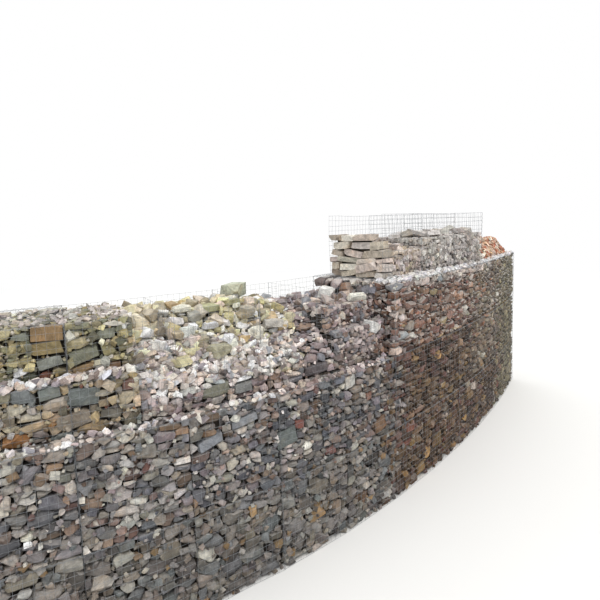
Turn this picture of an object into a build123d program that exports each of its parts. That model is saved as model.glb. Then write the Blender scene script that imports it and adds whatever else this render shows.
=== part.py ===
"""A curved gabion retaining wall: welded mesh baskets packed with stone, in five courses and six bays.

Millimetres, +Z up. X runs along the wall, the exposed face looks along -Y, and the origin is at the
middle of the base, at ground level. A plan place is a joint number, counted from the near end one
metre at a time, and a setback, measured inward from the face of the wall.
"""

import os
from math import atan2, degrees

from build123d import *

# Plan of the wall
CELLS = 12  # cells of the wall
BAY = 2  # cells of a bay, which is one basket long
BASE_CELLS = 4  # cells of a basket of the base course
CELL = 1000.0  # length of a cell along the face
NEAR_TURN = 4.4  # degrees that the face turns at each joint of the near half
FAR_TURN = 2.3  # degrees at each joint of the far half
MIDDLE = 6  # the joint where the stepped half ends and the full height half starts
PACKED_END = 2.6  # the place, in joint numbers, where packed stone ends and loose stone starts
PART_FILLED = 5  # the joint where loose stone ends and the last cell of the stepped half starts

# Heights of the courses
COURSE = 1000.0
HALF_COURSE = 500.0
LOWER = COURSE  # underside of the second course
UPPER = LOWER + COURSE  # underside of the third
STEP = UPPER + HALF_COURSE  # top of the first step of the near half
TOP = UPPER + COURSE  # top of the third course

# Depths, from the face of the wall
BASE_BACK = 2000.0
BACK = 1500.0
STEP_FACE = 160.0  # setback of the first step
TOP_FACE = 330.0  # setback of the second step

# Welded mesh
WIRE = 5.0
MESH = 76.2  # pitch of the wires
WIDE = HALF_COURSE  # pitch of the wires that are drawn on filled baskets
DRAWN = 2 * MESH  # pitch of the wires that are drawn on the open basket

# Stone of the stepped half where it isn't built up yet
PART_FILL = 260.0  # depth of stone in the last cell of the second step
LOOSE_FACE = 200.0  # height of the loose stone behind the face of the first step
LOOSE_TOP = 900.0  # and behind the top of its slope
CREST = 1000.0  # setback of the top of its slope

# Open basket on the third course
OPEN_CELLS = 3
OPEN_COLUMNS = round(OPEN_CELLS * CELL / DRAWN)  # drawn openings along it
OPEN_ROWS = 6  # and up its side
OPEN_LENGTH = OPEN_COLUMNS * DRAWN
OPEN_HEIGHT = OPEN_ROWS * DRAWN
OPEN_DEPTH = 1000.0
OPEN_OFFSET = 200.0  # distance of its near end from the middle joint
OPEN_NEAR = 330.0  # setback of its near end
OPEN_FAR = 60.0  # setback of its far end
NEAR_FILL = 380.0  # depth of stone in its cells
MIDDLE_FILL = 540.0
FAR_FILL = 560.0
STACK = 260.0  # thickness of the stones stacked across its near end
STACK_FRONT = 400.0  # height of the stack at the face
STACK_BACK = 660.0  # and further in
STACK_RISE = 330.0  # distance from the face over which it rises

# Heap on the far end
HEAP_GAP = 350.0  # distance from the open basket
HEAP_END = 250.0  # distance from the end of the wall
HEAP_NEAR = 80.0  # setbacks
HEAP_FAR = 900.0
HEAP_HEIGHT = 400.0
HEAP_SLOPE = 250.0  # run of its sides


def headings():
    """Direction of each cell's face in degrees, with the near cell at zero."""
    angles = [0.0]
    for joint in range(1, CELLS):
        turn = NEAR_TURN if joint < MIDDLE else FAR_TURN
        if joint == MIDDLE:
            turn = (NEAR_TURN + FAR_TURN) / 2
        angles.append(angles[-1] + turn)
    return angles


def face_line():
    """Corners of the face and the inward direction at each joint, with the ends of the face level."""
    angles = headings()
    corners = [Vector(0, 0)]
    for angle in angles:
        corners.append(corners[-1] + Vector(CELL, 0).rotate(Axis.Z, angle))
    swing = degrees(atan2(corners[-1].Y, corners[-1].X))
    corners = [corner.rotate(Axis.Z, -swing) for corner in corners]
    inward = [Vector(0, 1).rotate(Axis.Z, angles[0] - swing)]
    for before, after in zip(angles, angles[1:]):
        lean = Vector(0, 1).rotate(Axis.Z, (before + after) / 2 - swing)
        half = Vector(0, 1).rotate(Axis.Z, (after - before) / 2)
        inward.append(lean / half.Y)
    inward.append(Vector(0, 1).rotate(Axis.Z, angles[-1] - swing))
    return corners, inward


CORNERS, INWARD = face_line()


def centre():
    """Middle of the base course's box in plan."""
    reach = [CORNERS[j] + INWARD[j] * back for j in range(CELLS + 1) for back in (0, BASE_BACK)]
    xs = [p.X for p in reach]
    ys = [p.Y for p in reach]
    return Vector((min(xs) + max(xs)) / 2, (min(ys) + max(ys)) / 2)


CENTRE = centre()


def at(joint, setback):
    """Plan point at a joint number, which may be a fraction, and a setback."""
    low = min(int(joint), CELLS - 1)
    share = joint - low
    near = CORNERS[low] + INWARD[low] * setback
    far = CORNERS[low + 1] + INWARD[low + 1] * setback
    return near + (far - near) * share - CENTRE


def crossing(p, u, q, v):
    """Where the line through p along u meets the line through q along v."""
    share = ((q.X - p.X) * v.Y - (q.Y - p.Y) * v.X) / (u.X * v.Y - u.Y * v.X)
    return p + u * share


def inset(corners, distances):
    """A convex outline, corners counter-clockwise, with each side moved inward by its own distance."""
    sides = []
    for start, end, distance in zip(corners, corners[1:] + corners[:1], distances):
        along = (end - start).normalized()
        sides.append((start + along.rotate(Axis.Z, 90) * distance, along))
    return [crossing(*before, *after) for before, after in zip(sides[-1:] + sides[:-1], sides)]


def outline(joint, front, back, end=None):
    """Plan of the wall between two joints and two setbacks, counter-clockwise from its near front corner."""
    end = joint + 1 if end is None else end
    return [at(joint, front), at(end, front), at(end, back), at(joint, back)]


def block(corners, bottom, top):
    """A prism on a plan outline."""
    base = Face(Wire.make_polygon([Vector(p.X, p.Y, bottom) for p in corners], close=True))
    return Solid.extrude(base, Vector(0, 0, top - bottom))


def below(solid, p, q, r):
    """What lies under the plane through three points, given counter-clockwise as seen from above."""
    cut = Plane(origin=p, x_dir=q - p, z_dir=(q - p).cross(r - p))
    return split(solid, bisect_by=cut, keep=Keep.BOTTOM)


def lattice(corners, columns, rows):
    """Face of a welded mesh panel with its openings, on four corners given counter-clockwise."""
    middle = inset(corners, [WIRE / 2] * 4)

    def node(column, row):
        low = middle[0] + (middle[1] - middle[0]) * (column / columns)
        high = middle[3] + (middle[2] - middle[3]) * (column / columns)
        return low + (high - low) * (row / rows)

    openings = []
    for column in range(columns):
        for row in range(rows):
            square = [node(column, row), node(column + 1, row)]
            square += [node(column + 1, row + 1), node(column, row + 1)]
            openings.append(Wire.make_polygon(inset(square, [WIRE / 2] * 4), close=True))
    return Face(Wire.make_polygon(corners, close=True), openings)


def divisions(length, pitch):
    """Openings that fit along a length."""
    return max(1, round(length / pitch))


def flat_panel(corners, height, pitch):
    """A mesh panel lying on a plan outline, with its underside at a height."""
    columns = divisions((corners[1] - corners[0]).length, pitch)
    rows = divisions((corners[3] - corners[0]).length, pitch)
    return Solid.extrude(lattice(corners, columns, rows), Vector(0, 0, WIRE)).moved(Pos(0, 0, height))


def standing_panel(start, end, bottom, top, pitch):
    """A mesh panel standing on a plan line, with its thickness to the left of the line."""
    length = (end - start).length
    corners = [Vector(0, 0), Vector(length, 0), Vector(length, top - bottom), Vector(0, top - bottom)]
    face = lattice(corners, divisions(length, pitch), divisions(top - bottom, pitch))
    outward = (end - start).cross(Vector(0, 0, 1))
    stand = Plane(origin=Vector(start.X, start.Y, bottom), x_dir=end - start, z_dir=outward)
    return Solid.extrude(face, Vector(0, 0, -WIRE)).moved(stand.location)


def cage(first, last, front, back, bottom, top, pitch, lid=True):
    """Mesh of a basket from one joint to another, with a diaphragm at each joint between."""
    panels = []
    for joint in range(first, last):
        cell = outline(joint, front, back)
        panels.append(standing_panel(cell[0], cell[1], bottom, top, pitch))
        panels.append(standing_panel(cell[2], cell[3], bottom, top, BASE_BACK))
        panels.append(flat_panel(cell, bottom, BASE_BACK))
        if lid:
            panels.append(flat_panel(cell, top - WIRE, BASE_BACK))
    panels.append(standing_panel(at(first, back), at(first, front), bottom, top, BASE_BACK))
    panels.append(standing_panel(at(last, front), at(last, back), bottom, top, BASE_BACK))
    for joint in range(first + 1, last):
        near = at(joint, front)
        side = (at(joint, back) - near).normalized().rotate(Axis.Z, -90) * (WIRE / 2)
        panels.append(standing_panel(near + side, at(joint, back) + side, bottom, top, BASE_BACK))
    envelope = [block(outline(joint, front, back), bottom, top) for joint in range(first, last)]
    return panels[0].fuse(*panels[1:]).intersect(envelope[0].fuse(*envelope[1:]))


def end_panels(joint, first, last):
    """Room that a cell of a basket leaves for the panels at its near end and its far end."""
    return (WIRE if joint == first else WIRE / 2), (WIRE if joint == last - 1 else WIRE / 2)


def fill(start, end, front, back, low, high, near, far):
    """Stone between two places along a cell, inside the front and back panels and those at its ends."""
    return block(inset(outline(start, front, back, end), [WIRE, far, WIRE, near]), low, high)


def stones(first, last, front, back, bottom, top):
    """Stone fill of a basket, one solid for each cell between its panels."""
    cells = []
    for joint in range(first, last):
        ends = end_panels(joint, first, last)
        cells.append(fill(joint, joint + 1, front, back, bottom + WIRE, top - WIRE, *ends))
    return cells


def packed_to(joint):
    """Where packed stone ends in the cell of the stepped half that starts at a joint."""
    if joint >= PART_FILLED:
        return joint + 1
    return min(max(PACKED_END, joint), joint + 1)


def under_slope(solid, joint):
    """What lies under the slope of the loose stone, which rises from the face of the first step."""
    crest = at(joint, CREST)
    slope = [Vector(p.X, p.Y, UPPER + LOOSE_FACE) for p in (at(joint, STEP_FACE), at(joint + 1, STEP_FACE))]
    slope.append(Vector(crest.X, crest.Y, UPPER + LOOSE_TOP))
    solid = below(solid, *slope)
    if joint < PART_FILLED - 1:
        return solid
    drop = [at(joint, BACK), at(joint, STEP_FACE), at(joint + 1, STEP_FACE)]
    heights = (UPPER + LOOSE_TOP, UPPER + LOOSE_TOP, STEP + PART_FILL)
    return below(solid, *[Vector(p.X, p.Y, z) for p, z in zip(drop, heights)])


def write(name, *shapes):
    """One file for a node, from its solids."""
    solids = [solid for shape in shapes for solid in shape.solids()]
    result = solids[0] if len(solids) == 1 else Compound(children=solids)
    export_step(result, f"parts/{name}.step")


def closed_baskets():
    """The three courses of full height baskets."""
    for number, first in enumerate(range(0, CELLS, BASE_CELLS), 1):
        last = first + BASE_CELLS
        write(f"base_cage_{number}", cage(first, last, 0, BASE_BACK, 0, LOWER, COURSE))
        write(f"base_stones_{number}", *stones(first, last, 0, BASE_BACK, 0, LOWER))
    for number, first in enumerate(range(0, CELLS, BAY), 1):
        last = first + BAY
        write(f"lower_cage_{number}", cage(first, last, 0, BACK, LOWER, UPPER, WIDE))
        write(f"lower_stones_{number}", *stones(first, last, 0, BACK, LOWER, UPPER))
    for number, first in enumerate(range(MIDDLE, CELLS, BAY), 1):
        last = first + BAY
        write(f"upper_cage_{number}", cage(first, last, 0, BACK, UPPER, TOP, WIDE))
        write(f"upper_stones_{number}", *stones(first, last, 0, BACK, UPPER, TOP))


def stepped_half():
    """Two half height courses, packed at the near end, with loose stone and a part filled cell beyond."""
    spilled = []
    for number, first in enumerate(range(0, MIDDLE, BAY), 1):
        last = first + BAY
        write(f"step_cage_{number}", cage(first, last, STEP_FACE, BACK, UPPER, STEP, WIDE))
        write(f"top_cage_{number}", cage(first, last, TOP_FACE, BACK, STEP, TOP, WIDE, lid=last < PACKED_END))
        lower = []
        upper = []
        for joint in range(first, last):
            near, far = end_panels(joint, first, last)
            middle = packed_to(joint)
            if middle > joint:
                ends = (near, far if middle == joint + 1 else 0)
                full = TOP - WIRE if joint < PART_FILLED else STEP + WIRE + PART_FILL
                lower.append(fill(joint, middle, STEP_FACE, BACK, UPPER + WIRE, STEP - WIRE, *ends))
                upper.append(fill(joint, middle, TOP_FACE, BACK, STEP + WIRE, full, *ends))
            if middle < joint + 1:
                ends = (near if middle == joint else 0, far)
                toe = fill(middle, joint + 1, STEP_FACE, BACK, UPPER + WIRE, STEP - WIRE, *ends)
                slope = fill(middle, joint + 1, TOP_FACE, BACK, STEP + WIRE, UPPER + LOOSE_TOP, *ends)
                lower.append(under_slope(toe, joint))
                spilled.append(under_slope(slope, joint))
        write(f"step_stones_{number}", *lower)
        write(f"top_stones_{number}", *upper)
    write("spilled_stones", *spilled)


def open_basket_lines():
    """Near front corner of the open basket in plan, and its directions along the wall and inward."""
    near = at(MIDDLE + OPEN_OFFSET / CELL, OPEN_NEAR)
    aim = at(MIDDLE + (OPEN_OFFSET + OPEN_LENGTH) / CELL, OPEN_FAR)
    along = (aim - near).normalized()
    return near, along, along.rotate(Axis.Z, 90)


def open_basket():
    """Straight basket on the third course, with no lid and no near end panel yet."""
    near, along, inward = open_basket_lines()

    def spot(distance, depth):
        return near + along * distance + inward * depth

    def plan(start, end, front, back):
        return [spot(start, front), spot(end, front), spot(end, back), spot(start, back)]

    floor = TOP + WIRE
    rim = TOP + OPEN_HEIGHT
    inner_back = OPEN_DEPTH - WIRE
    write("open_floor", flat_panel(plan(0, OPEN_LENGTH, 0, OPEN_DEPTH), TOP, COURSE))
    write("open_front", standing_panel(spot(0, 0), spot(OPEN_LENGTH, 0), floor, rim, DRAWN))
    write("open_back", standing_panel(spot(OPEN_LENGTH, OPEN_DEPTH), spot(0, OPEN_DEPTH), floor, rim, DRAWN))
    fills = (NEAR_FILL, MIDDLE_FILL, FAR_FILL)
    pitch = OPEN_LENGTH / OPEN_CELLS
    masses = []
    for cell, depth in enumerate(fills):
        start = STACK if cell == 0 else pitch * cell
        end = pitch * (cell + 1)
        masses.append(block(plan(start, end - WIRE, WIRE, inner_back), floor, floor + depth))
        name = "open_far_end" if cell == OPEN_CELLS - 1 else f"open_diaphragm_{cell + 1}"
        write(name, standing_panel(spot(end, WIRE), spot(end, inner_back), floor, rim, DRAWN))
    write("open_stones", *masses)
    stack = block(plan(0, STACK, WIRE, inner_back), floor, floor + STACK_BACK)
    slope = [spot(0, WIRE), spot(STACK, WIRE), spot(0, STACK_RISE)]
    heights = (STACK_FRONT, STACK_FRONT, STACK_BACK)
    write("stacked_end", below(stack, *[Vector(p.X, p.Y, floor + z) for p, z in zip(slope, heights)]))


def far_heap():
    """Rubble lying on the third course between the open basket and the end of the wall."""
    start = MIDDLE + (OPEN_OFFSET + OPEN_LENGTH + HEAP_GAP) / CELL
    base = outline(start, HEAP_NEAR, HEAP_FAR, CELLS - HEAP_END / CELL)
    crest = inset(base, [HEAP_SLOPE] * 4)
    sections = []
    for corners, height in ((base, TOP), (crest, TOP + HEAP_HEIGHT)):
        sections.append(Wire.make_polygon([Vector(p.X, p.Y, height) for p in corners], close=True))
    write("far_rubble", Solid.make_loft(sections, ruled=True))


if __name__ == "__main__":
    os.makedirs("parts", exist_ok=True)
    closed_baskets()
    stepped_half()
    open_basket()
    far_heap()
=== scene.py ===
"""A curved gabion wall of welded mesh baskets: packed stone, wires, binders and loose stone around its frame.

Metres, +Z up. A plan place is a joint number, counted from the near end one metre at a time, and a
setback, measured inward from the face of the wall, as in the frame.
"""

import math
from dataclasses import dataclass, field
from itertools import combinations

import bmesh
import bpy
import numpy as np
from mathutils import Matrix, Vector


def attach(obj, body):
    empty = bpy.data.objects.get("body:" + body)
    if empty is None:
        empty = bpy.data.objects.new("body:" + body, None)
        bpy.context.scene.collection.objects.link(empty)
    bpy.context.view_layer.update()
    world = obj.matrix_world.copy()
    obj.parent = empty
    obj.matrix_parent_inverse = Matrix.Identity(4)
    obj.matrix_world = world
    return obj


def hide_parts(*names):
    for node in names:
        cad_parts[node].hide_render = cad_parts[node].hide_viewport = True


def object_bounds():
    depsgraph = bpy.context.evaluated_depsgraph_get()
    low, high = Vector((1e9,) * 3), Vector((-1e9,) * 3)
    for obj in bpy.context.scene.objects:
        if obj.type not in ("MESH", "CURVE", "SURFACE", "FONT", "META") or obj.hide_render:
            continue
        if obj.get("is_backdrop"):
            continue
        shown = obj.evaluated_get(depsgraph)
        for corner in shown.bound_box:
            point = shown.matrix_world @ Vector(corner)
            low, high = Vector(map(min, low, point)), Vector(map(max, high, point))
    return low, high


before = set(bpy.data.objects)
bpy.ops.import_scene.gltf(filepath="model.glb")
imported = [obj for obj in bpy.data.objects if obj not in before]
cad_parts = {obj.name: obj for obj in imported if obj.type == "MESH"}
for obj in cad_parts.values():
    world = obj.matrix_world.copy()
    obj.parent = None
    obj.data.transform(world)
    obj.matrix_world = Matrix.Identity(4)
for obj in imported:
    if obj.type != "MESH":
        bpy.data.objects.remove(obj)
CAD_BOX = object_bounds()

# Plan of the wall, with the frame's driving sizes
CELLS = 12
CELL = 1.0
NEAR_TURN = 4.4
FAR_TURN = 2.3
MIDDLE = 6
BASE_BACK = 2.0
BACK = 1.5
STEP_FACE = 0.16
TOP_FACE = 0.33
PACKED_END = 2.6
PART_FILLED = 5
LOWER = 1.0
UPPER = 2.0
STEP = 2.5
TOP = 3.0
PART_FILL_TOP = 2.76
LOOSE_FACE = 2.2
LOOSE_TOP = 2.9
CREST = 1.0
OPEN_NEAR_CORNER = (6.2, 0.33)
OPEN_FAR_CORNER = (9.248, 0.06)
OPEN_LENGTH = 3.048
OPEN_DEPTH = 1.0
OPEN_HEIGHT = 0.9144
OPEN_FILLS = (0.38, 0.54, 0.56)  # depth of stone in each cell
STACK = 0.26  # thickness of the stones stacked across the near end
STACK_FRONT = 0.40
STACK_BACK = 0.66
STACK_RISE = 0.33  # distance in which the stack's top rises
HEAP_START = 9.598
HEAP_END = 11.75
HEAP_NEAR = 0.08
HEAP_FAR = 0.90
HEAP_HEIGHT = 0.40
HEAP_SLOPE = 0.25

# Welded mesh
WIRE = 0.005
FINE_WIRE = 0.0028  # drawn on the filled baskets
OPEN_WIRE = 0.0034  # drawn on the open basket
MESH = 0.0762
EDGE = 0.004  # how far inside a panel's edge its outer wires lie
LAYER = 0.4  # share of the frame's wire by which level wires lie in front of the panel, and others behind
WIRE_STEP = 0.2  # usual distance between the points of a wire
BINDER_WIRE = 0.003
BINDER_RADIUS = 0.011
BINDER_STEPS = 5  # points in one turn
SWELL = 0.013  # how far the filled panels stand out in their middle
SWELL_DEPTH = 0.3  # how far behind a panel the stones follow it
LID_SWELL = 0.003  # of lids, and of panels in front of loose stone
END_SWELL = 0.005
OPEN_SWELL = 0.02  # of the open basket's front and back
OPEN_END_SWELL = 0.012

# Stone
NEAR_GRAIN = (0.137, 0.118, 0.082)  # usual size of a stone along, inward and up
MIDDLE_GRAIN = (0.115, 0.1, 0.07)  # in the second half of the stepped part
FAR_GRAIN = (0.15, 0.11, 0.08)  # in the full height part
BACK_GRAIN = (0.17, 0.15, 0.11)  # in the base course and at the back
LOOSE_GRAIN = (0.13, 0.115, 0.085)  # under the slope, in its first cell
THIN_GRAIN = (0.14, 0.115, 0.058)  # further on
FLAT_GRAIN = (0.3, 0.24, 0.085)  # in the open basket
HEAP_GRAIN = (0.15, 0.11, 0.075)
ROUGH = (0.5, 0.05)  # tilt and recess of the stones in a loose surface
SPLIT = 0.7  # distance behind the face where the finer stone ends
GAP = 0.003  # usual space between neighbours
SHRINK = 0.002  # by which every stone is smaller than its cell all round
START_CLEAR = 0.02  # least distance of a stone's first middle from the sides of its space
NEIGHBOUR_TILT = 0.15
BLOCK_CUT = (0.84, 1.0)  # shares of a stone's reach at which it is made blocky
CHIP_CUT = (0.74, 0.98)  # and at which it is chipped
CELL_LEAST = 0.06  # least reach of a cell and of a stone, in grains
STONE_LEAST = 0.05
SHELL = 0.24  # depth that is packed behind a side that shows
REACH = 0.09  # a stone is made if it comes this close to a side that shows
CORE = 0.09  # depth of the dark middle under a side that shows; its dark colour is painted shade for the gaps between stones
MARGIN = 0.12  # how far past its stretch a side still counts as showing
HAIR = 0.004  # space left round the middle painted as shade and round a stone with its own place
CAP = 1.15  # largest reach of a stone from its seed, in grains
NEIGHBOURS = 16
PASSES = 3
CRUMBS = 700  # places tried for small stones in the gaps behind each side that shows
FAR_CRUMBS = 260  # the same in the full height part and at the back of both ends
CRUMB = (0.008, 0.034)  # smallest and largest radius of these
CRUMB_DEPTH = (0.012, 0.055)  # how far behind a side their places are
BROKEN = (0.075, 0.14)  # usual and largest size of the stones strewn on the loose stone
DRIFT_START = 3.5  # joint where stone that drifts towards the face lies at its full setback
MERGE = 0.09  # corners closer than this, before a stone gets its size, become one
SHARP_ANGLE = 17
PIN_DEPTH = 0.15  # depth of a stone with its own place in a face

# Camera
CAMERA_PLACE = (-5.094, -5.272, 3.833)
CAMERA_AZIMUTH = 41.811
CAMERA_PITCH = 5.656
CAMERA_ROLL = 1.768
CAMERA_LENS = 28.42
CAMERA_SHIFT_Y = -0.0508


def face_line():
    """Corners of the face and the inward direction at each joint."""
    middle_turn = (NEAR_TURN + FAR_TURN) / 2
    bends = [0.0] + [NEAR_TURN] * (MIDDLE - 1) + [middle_turn] + [FAR_TURN] * (CELLS - MIDDLE - 1)
    angles = np.radians(np.cumsum(bends))
    x, y = np.cumsum([np.cos(angles), np.sin(angles)], 1)[:, -1]
    angles = angles - math.atan2(y, x)
    steps = CELL * np.stack([np.cos(angles), np.sin(angles)], 1)
    corners = np.concatenate([np.zeros((1, 2)), np.cumsum(steps, 0)])
    before = np.append(angles[0], angles)
    after = np.append(angles, angles[-1])
    middle = (before + after) / 2
    inward = np.stack([-np.sin(middle), np.cos(middle)], 1) / np.cos((after - before) / 2)[:, None]
    both = np.concatenate([corners, corners + inward * BASE_BACK])
    return corners - (both.min(0) + both.max(0)) / 2, inward


CORNERS, INWARD = face_line()


def unit(vectors):
    """The same directions with a length of one."""
    return vectors / np.linalg.norm(vectors, axis=-1, keepdims=True)


def at(joint, setback):
    """Plan point at a joint number, which may be a fraction, and a setback."""
    low = min(int(joint), CELLS - 1)
    near, far = CORNERS[low : low + 2] + INWARD[low : low + 2] * setback
    return near + (far - near) * (joint - low)


def spot(joint, setback, height):
    """Point in space at a joint number, a setback and a height."""
    return np.append(at(joint, setback), height)


def outline(first, last, front, back):
    """Plan between two joint numbers and two setbacks, counter-clockwise from its near front corner."""
    return np.array([at(first, front), at(last, front), at(last, back), at(first, back)])


def open_plan(start, end, front, back):
    """Plan of part of the open basket, from distances along and behind its near front corner."""
    near = at(*OPEN_NEAR_CORNER)
    along = unit(at(*OPEN_FAR_CORNER) - near)
    inward = np.array([-along[1], along[0]])
    places = ((start, front), (end, front), (end, back), (start, back))
    return np.array([near + along * a + inward * b for a, b in places])


def joint_of(points):
    """Joint numbers of plan points, each along the cell whose middle is nearest."""
    runs = np.diff(CORNERS, axis=0)
    shares = ((points[:, None] - CORNERS[:-1]) * runs).sum(2) / (runs**2).sum(1)
    cells = np.abs(shares - 0.5).argmin(1)
    return cells + shares[np.arange(len(points)), cells]


def seed_of(name):
    """A generator that depends on the piece's name alone."""
    return np.random.default_rng(sum((i + 1) * ord(letter) for i, letter in enumerate(name)))


def upright(start, end, bottom, top):
    """Corners of a standing panel on a plan line."""
    return [(*start, bottom), (*end, bottom), (*end, top), (*start, top)]


def outward_of(start, end):
    """Horizontal direction to the right of a plan line."""
    run = end - start
    return np.array([run[1], -run[0], 0]) / np.linalg.norm(run)


# Colours


def linear(code):
    """Linear colour from six hex digits."""
    values = np.array([int(code[i : i + 2], 16) / 255 for i in (0, 2, 4)])
    return np.where(values <= 0.04045, values / 12.92, ((values + 0.055) / 1.055) ** 2.4)


PALETTES = {
    "base_near": "6a6561 76706b 88837e 585452 97928b 786e63 6b6d6d 837a70",
    "lower_near": "78777a 95918f 6a6a6e a69f98 88746c b3ada4 7a6759 63646a 918788 c6c0b6 a0978c 837e76 "
    "716f6e",
    "lower_middle": "6c6b6e 857f7d 5e5f62 938c86 796860 a09185 6c5b4f 585960 81797e b1aba1 8e847b 746e67",
    "step": "9a8f79 ada088 887f6d 96917f c2b8a4 a6926f 79807d aa9a80 c0b8ab b7a384 857e77",
    "top_near": "908a6a a39a76 7f806a 8d8b73 c4bca4 a69366 706f5d b3a67a 8d8766 cfc8b6 9d9474 b4ab94 787a6c",
    "loose": "ddd6bf ebe5d5 cbc3a3 dfd8b2 c4b897 b9ae98 dfd2c4 d0c0ae a8a184 c9bd8c f3efe6 e3dece c0bdb8 "
    "9a917e",
    "crushed": "d5c9c2 b9aca6 eae0d8 a3979a f2ece6 938780 e8e0d8 d4cfcc b9b9c0 cdbcae",
    "part_filled": "a49494 b9a9a5 8f8080 ccc0ba 9b8c8b b1a39a 857772 c1ac9f 929197",
    "upper_near": "7b5f53 896a5b 694e45 8b6050 836857 9a7761 6c564c 90715e 5d463e 7d5f54",
    "upper_rim": "bcaca2 c8bab0 aaa09c d2c6bd b0a299 a5a7ab c2aea3",
    "upper_far": "76675a 807060 6d5f51 8d7e6c 63554a 837057 958a76 786553",
    "lower_far": "6b543f 5c4938 765d47 503f34 7e6647 634d3d 564439 41332b 6b5742 654a42",
    "far_end": "736852 80755b 665c48 887d61 595443 928767 78715a",
    "open": "c6bfba bab3ae aaa39e d6cfc9 a29992 cbbfb5 dcd5cf",
    "open_near": "cfc1b5 c3b6af e3dad6 ac9e96 b8a593 d8cab0",
    "stack": "cfc4b8 c4b8ac d6cdc3 baada1 c3b6a6 d9d6d3",
    "pale": "e4e1de d8d8da ebe8e6 dedad7 cccbd0",
    "rubble": "d6bea9 c08a6c cc9878 efdfd0 ae7154 dfc3ac c2a893 b3694c d0ae8a",
    # painted shade: dark colour of the hidden middle that shows in the gaps between stones
    "painted_shade_core": "38322c",
}
ACCENTS = {
    "lower_near": "cdc8bd d6d0c6 735650 8a735c",
    "base_near": "a7a39b 8a7150",
    "step": "c9c3ba b5854f 8a5a48",
    "top_near": "ddd7ca b98f4a",
    "loose": "bfa676 f4f2ee",
    "part_filled": "d3ccc4 8f7769",
    "upper_near": "876352 745049 a9956f c2b8ad",
    "upper_far": "9a7058 b5ab9f",
    "lower_far": "96784c 6f463a 9c9184",
}
ACCENT_SHARE = 0.07
FADE = 0.1
PLACED_FADE = 0.42
EVEN = ("stack", "open", "pale", "open_near")  # kinds with less difference from stone to stone


def faded(colour, share=FADE):
    """A colour with less difference between its parts."""
    grey = colour.mean()
    return grey + (colour - grey) * (1 - share)


def decoded(table):
    """The colours of each palette as rows of numbers."""
    return {name: np.array([faded(linear(code)) for code in text.split()]) for name, text in table.items()}


PALETTES = decoded(PALETTES)
ACCENTS = decoded(ACCENTS)


def wall_palettes(joints, heights, random):
    """Palette of each stone in the courses, with soft borders between the kinds of stone."""
    joints = joints + random.normal(0, 0.3, len(joints))
    heights = heights + random.normal(0, 0.04, len(heights))
    names = np.full(len(joints), "lower_near", dtype=object)
    far = joints >= MIDDLE
    names[joints > 4.5] = "lower_middle"
    names[~far & (heights < LOWER)] = "base_near"
    names[(joints < 3.2) & (heights > UPPER)] = "step"
    names[(joints >= 3.2) & ~far & (heights > UPPER)] = "part_filled"
    names[(joints < PACKED_END + 0.3) & (heights > STEP)] = "top_near"
    names[far] = "lower_far"
    names[far & (heights > UPPER)] = "upper_near"
    names[(joints > 8.6) & (heights > LOWER)] = "upper_far"
    names[far & (joints < 9.5) & (heights > 2.86)] = "upper_rim"
    names[joints > 10.4] = "far_end"
    return names


def slope_palettes(joints, heights, random):
    """Palette of each loose stone: pale at first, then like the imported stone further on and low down."""
    joints = joints + random.normal(0, 0.15, len(joints))
    heights = heights + random.normal(0, 0.05, len(heights))
    names = np.full(len(joints), "loose", dtype=object)
    names[(heights < 2.36) & (joints < 4)] = "crushed"
    names[heights < LOOSE_FACE - 0.03] = "part_filled"
    names[joints + (2.45 - heights) > 4.5] = "part_filled"
    return names


def always(name):
    """The same palette for every stone."""
    return lambda joints, heights, random: np.full(len(joints), name, dtype=object)


def choose_tints(names, random):
    """A colour for each stone from its palette, a little lighter or darker than there."""
    tints = np.zeros((len(names), 3))
    for name in sorted(set(names)):
        chosen = names == name
        palette = PALETTES[name]
        tints[chosen] = palette[random.integers(0, len(palette), chosen.sum())]
        if name in ACCENTS:
            few = chosen & (random.random(len(names)) < ACCENT_SHARE)
            tints[few] = ACCENTS[name][random.integers(0, len(ACCENTS[name]), few.sum())]
    contrast = np.where(np.isin(names, EVEN), 0.5, 1.0)[:, None]
    value = np.exp(random.normal(0, 0.26, (len(names), 1)) * contrast)
    hue = np.exp(random.normal(0, 0.02, (len(names), 3)))
    return np.minimum(tints * value * hue, 0.9)


# Stones as convex solids between planes


def hull(points):
    """Corners and outward triangles of the convex hull of some points around the origin."""
    shape = bmesh.new()
    for point in points:
        shape.verts.new(point)
    bmesh.ops.convex_hull(shape, input=shape.verts)
    shape.verts.index_update()
    faces = np.array([[corner.index for corner in face.verts] for face in shape.faces])
    shape.free()
    if len(faces) < 4:
        return None, None
    used, faces = np.unique(faces, return_inverse=True)
    corners = points[used]
    faces = faces.reshape(-1, 3)
    a, b, c = corners[faces].transpose(1, 0, 2)
    inward = (np.cross(b - a, c - a) * (a - corners.mean(0))).sum(1) < 0
    faces[inward] = faces[inward][:, ::-1]
    return corners, faces


def between(normals, distances):
    """Corners and triangles of the convex solid between planes, without its shortest edges."""
    corners, faces = hull(normals / distances[:, None])
    if corners is None:
        return None, None
    a, b, c = corners[faces].transpose(1, 0, 2)
    cross = np.cross(b - a, c - a)
    points = cross / np.maximum((cross * a).sum(1), 1e-9)[:, None]
    first = np.unique(np.round(points / MERGE).astype(int), axis=0, return_index=True)[1]
    return hull(points[first]) if len(first) > 3 else (None, None)


def directions_of_ball():
    """Directions spread evenly: the corners and edge middles of an icosahedron."""
    g = (1 + math.sqrt(5)) / 2
    pairs = [(a, b) for a in (-1, 1) for b in (-g, g)]
    corners = np.array([p for a, b in pairs for p in ((a, b, 0), (0, a, b), (b, 0, a))])
    near = np.linalg.norm(corners[:, None] - corners[None], axis=2) < 2.1
    first, second = np.nonzero(np.triu(near, 1))
    return unit(np.concatenate([corners, corners[first] + corners[second]]))


BALL = directions_of_ball()
BALL_CORNERS = BALL[:12]
SIX = np.concatenate([np.eye(3), -np.eye(3)])


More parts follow.
